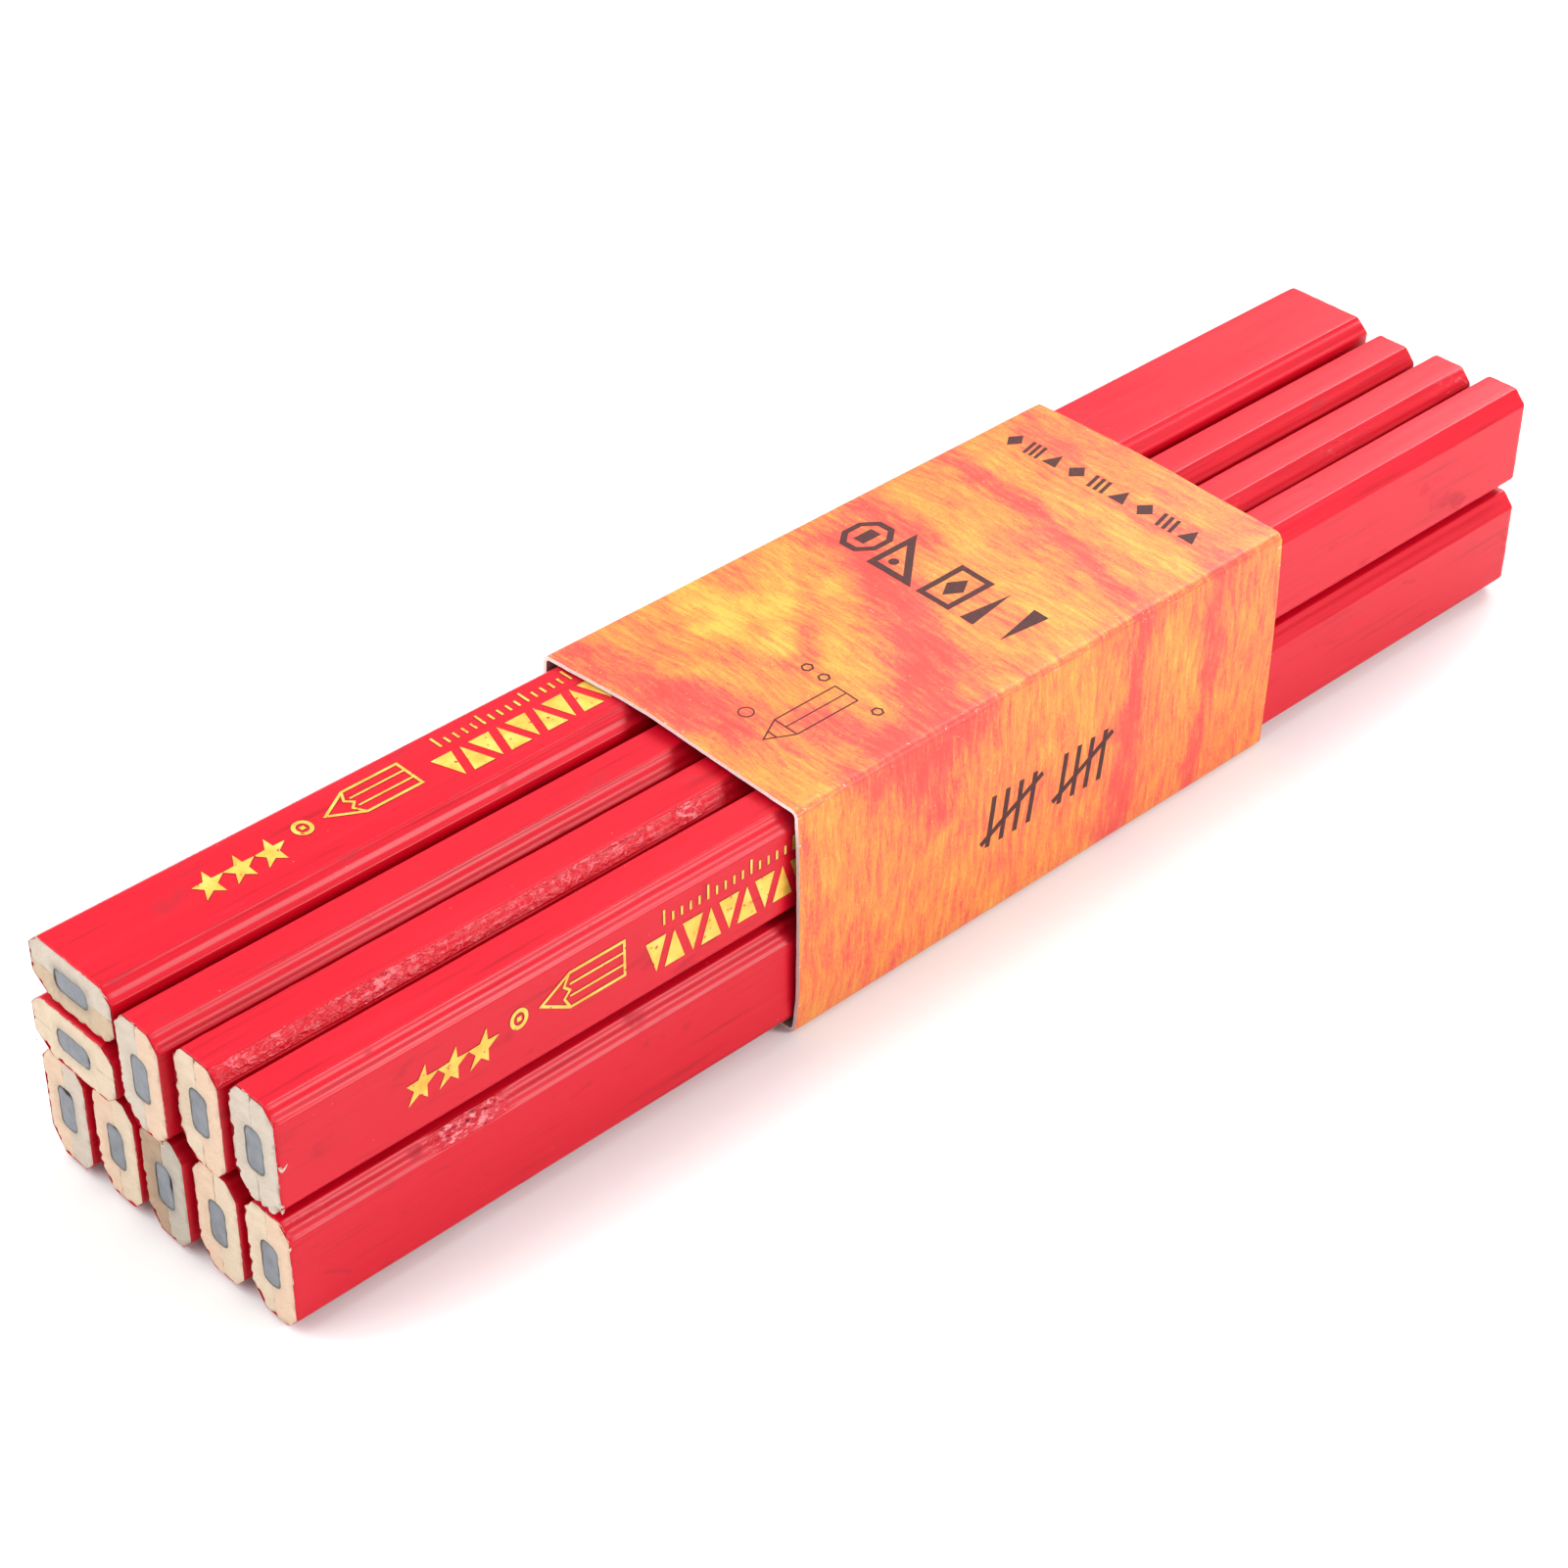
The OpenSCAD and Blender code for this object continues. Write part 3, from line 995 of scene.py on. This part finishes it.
def sleeve_corners():
    """Outside of the folded blank, from the outer panel's free edge round to the flap's end."""
    front = HALF_WIDTH - 0.15
    flap_y = HALF_WIDTH - CARD - GLUE
    return [
        (HALF_WIDTH, ROOF - 1.0),
        (HALF_WIDTH, 0),
        (-front, 0),
        (-front, LOW_ROOF),
        (RIDGE_Y, ROOF),
        (flap_y, ROOF),
        (flap_y, ROOF - FLAP),
    ]


PATH = rounded_path(sleeve_corners(), FOLD_RADIUS, 0.9, 12)
PATH_REACH = np.concatenate([[0], np.cumsum(np.linalg.norm(np.diff(PATH, axis=0), axis=1))])
PATH_OUT = path_normals(PATH)
if PATH_OUT[2][0] < 0:
    PATH_OUT = -PATH_OUT


def reach_of(y, z, after=0.0):
    """Distance along the blank of the path point nearest to (y, z), past a given distance."""
    gap = np.hypot(PATH[:, 0] - y, PATH[:, 1] - z) + 1000 * (PATH_REACH < after)
    return PATH_REACH[np.argmin(gap)]


BACK_FOOT = reach_of(HALF_WIDTH, 0)
FRONT_FOOT = reach_of(-HALF_WIDTH, 0)
FRONT_FOLD = reach_of(-HALF_WIDTH, LOW_ROOF)
BACK_FOLD = reach_of(HALF_WIDTH, ROOF, after=FRONT_FOLD)


def sleeve_push(x, y, z, s):
    """How far the card stands off its folded outline: bowed front, lifted mouth, small dents."""
    push = 0.0
    inward = x - MOUTH_X
    if FRONT_FOOT < s < FRONT_FOLD:
        rise = (s - FRONT_FOOT) / (FRONT_FOLD - FRONT_FOOT)
        push += SIDE_BULGE * math.sin(math.pi * rise) * (0.75 + 0.25 * math.sin(inward / 22))
        push += 0.45 * min(1.0, 6 * rise) * (1 - rise) * gauss(inward, 9)
    if FRONT_FOLD < s < BACK_FOLD:
        across = (s - FRONT_FOLD) / (BACK_FOLD - FRONT_FOLD)
        far = np.clip(inward / 70, 0, 1)
        push += 0.25 * far * math.sin(math.pi * across)
        push += 0.10 * wobble(x / 11, y / 8, seed=3) * math.sin(math.pi * across)
        push -= 0.10 * gauss(x - DENT_X, 2.5) * gauss(y - RIDGE_Y, 1.2)
    return push + 0.03 * wobble(x / 6, s / 6, seed=8)


def sleeve_point(x, s, height=0.0):
    """The point of the card's outer face at x and at distance s along the blank, raised by height."""
    y = np.interp(s, PATH_REACH, PATH[:, 0])
    z = np.interp(s, PATH_REACH, PATH[:, 1])
    out = np.array([np.interp(s, PATH_REACH, PATH_OUT[:, k]) for k in (0, 1)])
    out /= np.linalg.norm(out)
    lifted = min(1.0, max(0.0, z) / 0.6)
    push = height + sleeve_push(x, y, z, s) * lifted
    rise = np.clip((z - 20) / 8, 0, 1)
    lean = BACK_LEAN * rise * rise * (3 - 2 * rise) * np.clip((y - 6) / 10, 0, 1)
    return np.array([x, y + out[0] * push - lean, z + out[1] * push])


def sleeve_ends(s):
    """Where the blank starts and ends in x at distance s: cut edges that aren't quite straight."""
    lean = np.clip((s - reach_of(RIDGE_Y, ROOF)) / 12, 0, 1)
    near = sleeve_low[0] + 0.12 * wobble(s / 9, seed=2) - MOUTH_SKEW * lean
    far = sleeve_high[0] + 0.12 * wobble(s / 9, seed=5)
    near += 0.05 * wobble(s * 1.5, seed=6)
    far += 0.04 * wobble(s * 1.5, seed=7)
    return near, far


# Broad figure of the printed wood, as strokes: from (x, d) to (x, d), width and amount.
# d is the distance below the front fold on the front panel and minus the distance past it on the
# roof. Positive amounts are yellow and negative ones coral.
FLAMES = [
    # the tall flame at the near end: coral round it, nested yellow arches in it
    ((-24.5, -34), (-22, -14), 2.6, -0.9),
    ((-21, -22), (-12, -3), 2.4, -0.8),
    ((9.5, -31), (6.5, -20), 2.4, -1.1),
    ((6.5, -20), (0, -8), 3.1, -1.2),
    ((0, -8), (-8, -2), 3.4, -1.1),
    ((-9, -34), (-8, -28), 3.4, 1.1),
    ((-12, -28), (-10, -20.5), 1.7, 0.9),
    ((-9, -20), (-3.5, -26), 1.7, 0.9),
    ((-3.5, -26), (2, -34), 2.4, 0.5),
    ((-11, -19.5), (-8.5, -17), 1.1, -0.4),
    ((-8.5, -17), (-3, -22), 1.1, -0.4),
    ((-7, -14.5), (2.5, -25), 1.8, 0.6),
    ((-17, -22), (-15, -13), 1.7, 0.5),
    ((-9.5, -12), (-9, -5), 2.2, 0.4),
    ((-23.5, -6), (-21.5, 9), 2.2, 0.5),
    # its foot on the front panel
    ((-16, 0), (-2, 1), 3.0, -1.0),
    ((-10, 3), (-6.5, 8.5), 3.2, -0.9),
    ((-6.5, 15), (-6.5, 17), 1.6, -0.4),
    ((-18, 17), (-4, 22), 3.5, 0.15),
    # upright bands from the middle to the far end
    ((15, -33), (15, -25), 3.0, -0.9),
    ((20, -33), (18.5, -20), 1.9, 0.55),
    ((17, -20), (16.5, -4), 2.8, 0.45),
    ((6.7, -8), (7.5, -5), 1.8, 0.5),
    ((10, 0), (9.5, 10), 1.8, 0.4),
    ((13.5, -1), (14.5, 11), 1.8, 0.65),
    ((29.6, -35), (27.8, -21), 1.3, -1.1),
    ((27.8, -21), (24, -3), 1.2, -1.1),
    ((23, 0), (21.5, 11), 1.3, -1.1),
    ((21.5, 11), (20.5, 27), 2.2, -1.1),
    ((28, 4), (30.3, 13), 2.0, 0.55),
    ((34.6, 0), (33.9, 12), 1.2, -1.0),
    ((33.9, 12), (32, 27), 1.5, -1.0),
    ((32, -34), (32, -27), 1.8, 0.5),
    ((31, -20), (34, -14), 1.8, 0.6),
    ((31.5, -11), (32, -3), 1.9, 0.6),
    ((35.5, -15), (38, -1), 1.8, -0.7),
    ((39, -32), (39.5, -26), 2.4, -0.6),
]


def figure_at(xs, s):
    """Strength of the figure at each x and at distance s along the blank."""
    bent = np.array([x + 0.9 * wobble(x / 5, s / 5, seed=12) for x in xs])
    places = np.stack([bent, np.full(len(xs), FRONT_FOLD - s)], axis=1)
    total = np.zeros(len(xs))
    for start, end, width, amount in FLAMES:
        start, run = np.array(start, float), np.subtract(end, start)
        share = np.clip((places - start) @ run / (run @ run), 0, 1)
        gap = np.linalg.norm(places - start - share[:, None] * run, axis=1)
        total += amount * np.exp(-((gap / width) ** 3))
    return np.clip(total, -1.3, 1.3)


def make_sleeve(materials):
    """The card blank as one closed strip: printed face, grey inside and pale cut edges."""
    shape = Shape()
    outside, inside = [], []
    shares = stations(0, 1, 0.006, 0.012, 0.05)
    folds = (FRONT_FOLD, BACK_FOLD, FRONT_FOOT, BACK_FOOT)
    for s in PATH_REACH:
        near, far = sleeve_ends(s)
        xs = near + (far - near) * shares
        top = [sleeve_point(x, s) for x in xs]
        foot = [sleeve_point(x, s, -CARD) for x in xs]
        figure = figure_at(xs, s)
        fold_gap = min(abs(s - f) for f in folds)
        # Two narrow bands, one on each side of the front fold, where painted shade goes.
        crease = gauss(abs(s - FRONT_FOLD) - 0.12, 0.16)
        wear = []
        for x in xs:
            edge_gap = min(x - near, far - x)
            worn = 1.3 * gauss(fold_gap, 0.5) * (0.6 + 0.5 * wobble(x / 5, seed=4))
            worn += 1.5 * gauss(edge_gap, 0.35) + 3.0 * gauss(math.hypot(edge_gap, fold_gap), 0.8)
            wear.append(worn)
        outside.append(shape.add(top, figure=figure, along=s, across=xs, crease=crease, wear=wear))
        inside.append(shape.add(foot, figure=0, along=s, across=xs, crease=0, wear=0))
    shape.sheet(outside, inside, slots=(0, 1, 2))
    piece = shape.build("printed_sleeve", materials, sharp=45)
    finish_piece(piece, "sleeve", "sleeve_card", "sleeve_card")


def make_glue():
    """The dried glue between the outer panel and the flap, as a thin closed strip."""
    low, high = mm_box("sleeve_glue")
    shape = Shape()
    xs = np.linspace(low[0], high[0], 60)
    outside, inside = [], []
    for z in np.linspace(low[2], high[2], 12):
        s = reach_of(HALF_WIDTH, z)
        outside.append(shape.add([sleeve_point(x, s, -CARD) for x in xs]))
        inside.append(shape.add([sleeve_point(x, s, -CARD - GLUE) for x in xs]))
    shape.sheet(outside, inside)
    piece = shape.build("flap_glue", [glue_material()])
    finish_piece(piece, "sleeve", "glue", "sleeve_glue")


def sleeve_figures():
    """Print on the roof, as (x, y): a pencil's end, a set square, a framed block,
    two wedges, a row of small figures and a fine line drawing."""
    bold = Marks(reach=1.0)
    x = 11.6
    bold.line(ring_of(8, 2.9, 2.6, (x, 11.0), 0.5), 0.75, closed=True)
    bold.fill([(x - 1.3, 10.2), (x + 1.3, 10.2), (x + 1.3, 11.8), (x - 1.3, 11.8)])
    bold.line([(x + 3.0, 6.9), (x - 3.0, 6.9), (x - 3.0, 1.7)], 0.85, closed=True)
    bold.fill(ring_of(8, 0.6, 0.6, (x - 1.4, 5.2), 0.5))
    bold.line([(x - 3.1, -0.4), (x + 3.1, -0.4), (x + 3.1, -4.4), (x - 3.1, -4.4)], 0.7, closed=True)
    bold.fill([(x - 1.9, -2.4), (x, -1.2), (x + 1.9, -2.4), (x, -3.6)])
    bold.fill([(x + 3.2, -7.2), (x - 3.4, -6.4), (x - 3.4, -8.2)])
    bold.fill([(x - 3.2, -11.9), (x + 3.2, -10.6), (x + 3.2, -12.6)])
    for i in range(9):
        y = 14.0 - 3.3 * i
        if i % 3 == 0:
            bold.fill([(35.6, y), (36.9, y + 1.1), (38.2, y), (36.9, y - 1.1)])
        elif i % 3 == 1:
            for shift in (-0.9, 0.0, 0.9):
                bold.line([(35.7, y + shift - 0.3), (38.1, y + shift + 0.3)], 0.45)
        else:
            bold.fill([(35.8, y - 1.1), (35.8, y + 1.1), (38.1, y)])
    fine = Marks(reach=1.0)
    fine.line([(-20.6, -8.0), (-17.6, -6.4), (-9.4, -6.4), (-9.4, -9.6), (-17.6, -9.6)], 0.16, closed=True)
    fine.line([(-17.6, -6.4), (-17.6, -9.6)], 0.16)
    fine.line([(-17.6, -8.0), (-9.4, -8.0)], 0.14)
    fine.line([(-19.4, -7.4), (-19.4, -8.6)], 0.16)
    fine.line(ring_of(16, 0.8, 0.8, (-18.8, -3.6)), 0.15, closed=True)
    for y in (-2.2, -4.6, -12.2):
        fine.line(ring_of(6, 0.6, 0.6, (-9.2, y)), 0.2, closed=True)
    return bold, fine


def tally_figures():
    """Ten tally strokes on the front panel, as (x, height)."""
    tally = Marks(reach=1.5)
    for group in (0.4, 11.0):
        for i in range(4):
            x = group + 2.0 * i
            tally.line([(x, 9.5), (x + 0.7, 15.7)], 0.66)
        tally.line([(group - 1.0, 10.2), (group + 7.8, 15.0)], 0.66)
    return tally


INK_HEIGHT = 0.03


def roof_surface(a, b, h):
    """The roof's point at x = a and y = b, raised by h."""
    s = FRONT_FOLD + (b + HALF_WIDTH) * (BACK_FOLD - FRONT_FOLD) / (2 * HALF_WIDTH)
    return sleeve_point(a, s, h)


def front_surface(a, b, h):
    """The front panel's point at x = a and height b, raised by h."""
    return sleeve_point(a, FRONT_FOOT + b * (FRONT_FOLD - FRONT_FOOT) / LOW_ROOF, h)


INK = ink_material()
make_sleeve([
    print_material(),
    board_material("grey_board", (0.45, 0.42, 0.38), (0.30, 0.27, 0.24)),
    board_material("cut_card_edge", (0.72, 0.66, 0.64), (0.60, 0.50, 0.47)),
])
bold_figures, fine_figures = sleeve_figures()
for name, marks, surface in (
    ("roof_bold_print", bold_figures, roof_surface),
    ("roof_fine_print", fine_figures, roof_surface),
    ("front_tally_print", tally_figures(), front_surface),
):
    finish_piece(marks.build(name, INK, surface, INK_HEIGHT), "sleeve", "sleeve_card")

make_glue()

# ---- floor, light and camera ----

FLOOR_REACH = 4.0
FLOOR_WHITE = (0.75, 0.75, 0.75)


def make_floor():
    """A plain white floor, 8 metres across."""
    mesh = bpy.data.meshes.new("studio_floor")
    r = FLOOR_REACH
    mesh.from_pydata([(-r, -r, 0), (r, -r, 0), (r, r, 0), (-r, r, 0)], [], [(0, 1, 2, 3)])
    paint = Nodes("studio_white").surface(Base_Color=FLOOR_WHITE, Roughness=0.9, Specular_IOR_Level=0.0)
    mesh.materials.append(paint)
    floor = add_object("studio_floor", mesh)


def make_light(name, place, size, watts):
    """A square softbox at a place in millimetres, facing the pack."""
    light = bpy.data.lights.new(name, "AREA")
    light.shape = "SQUARE"
    light.size = size * MM
    light.energy = watts
    lamp = add_object(name, light)
    lamp.location = Vector(place) * MM
    lamp.rotation_euler = (-lamp.location).to_track_quat("-Z", "Y").to_euler()


def make_sky_light(name, azimuth, elevation, width, strength):
    """A wide soft light far away, so that the whole floor is lit evenly. Angles are in degrees;
    azimuth 0 is along +X and 90 along +Y, and width is how broad the light looks."""
    light = bpy.data.lights.new(name, "SUN")
    light.angle = math.radians(width)
    light.energy = strength
    lamp = add_object(name, light)
    lamp.rotation_euler = (0, math.radians(90 - elevation), math.radians(azimuth))


CAMERA_AZIMUTH = -44.22
CAMERA_ELEVATION = 36.856
CAMERA_ROLL = 0.71
CAMERA_DISTANCE = 354.8
CAMERA_TARGET = (-10.84, -0.89, 13.49)
CAMERA_LENS = 80.58


def make_camera():
    """Looks at the pack from its near left corner. Azimuth 0 looks along +Y."""
    camera = bpy.data.cameras.new("camera")
    camera.lens = CAMERA_LENS
    camera.sensor_width = 36.0
    camera.clip_start = 0.02
    camera.clip_end = 20.0
    eye = add_object("camera", camera)
    a, e = math.radians(CAMERA_AZIMUTH), math.radians(CAMERA_ELEVATION)
    back = Vector((math.sin(a) * math.cos(e), -math.cos(a) * math.cos(e), math.sin(e)))
    turn = Matrix.Rotation(a, 4, "Z") @ Matrix.Rotation(math.pi / 2 - e, 4, "X")
    turn = turn @ Matrix.Rotation(math.radians(CAMERA_ROLL), 4, "Z")
    place = (Vector(CAMERA_TARGET) + back * CAMERA_DISTANCE) * MM
    eye.matrix_world = Matrix.Translation(place) @ turn
    bpy.context.scene.camera = eye


def make_world(strength):
    """Even white light from all round."""
    world = bpy.data.worlds.new("studio")
    world.use_nodes = True
    background = world.node_tree.nodes["Background"]
    background.inputs["Color"].default_value = (1.0, 1.0, 1.0, 1.0)
    background.inputs["Strength"].default_value = strength
    bpy.context.scene.world = world


make_floor()
make_world(0.68)
make_sky_light("far_light", azimuth=13, elevation=38, width=32, strength=2.4)
make_sky_light("back_light", azimuth=110, elevation=65, width=30, strength=1.0)
make_sky_light("left_light", azimuth=144, elevation=30, width=55, strength=2.8)
make_sky_light("low_light", azimuth=-84, elevation=10, width=12, strength=0.6)
make_light("front_softbox", place=(195, -408, 275), size=150, watts=1.9)
make_camera()
bpy.context.scene.view_settings.view_transform = "Standard"
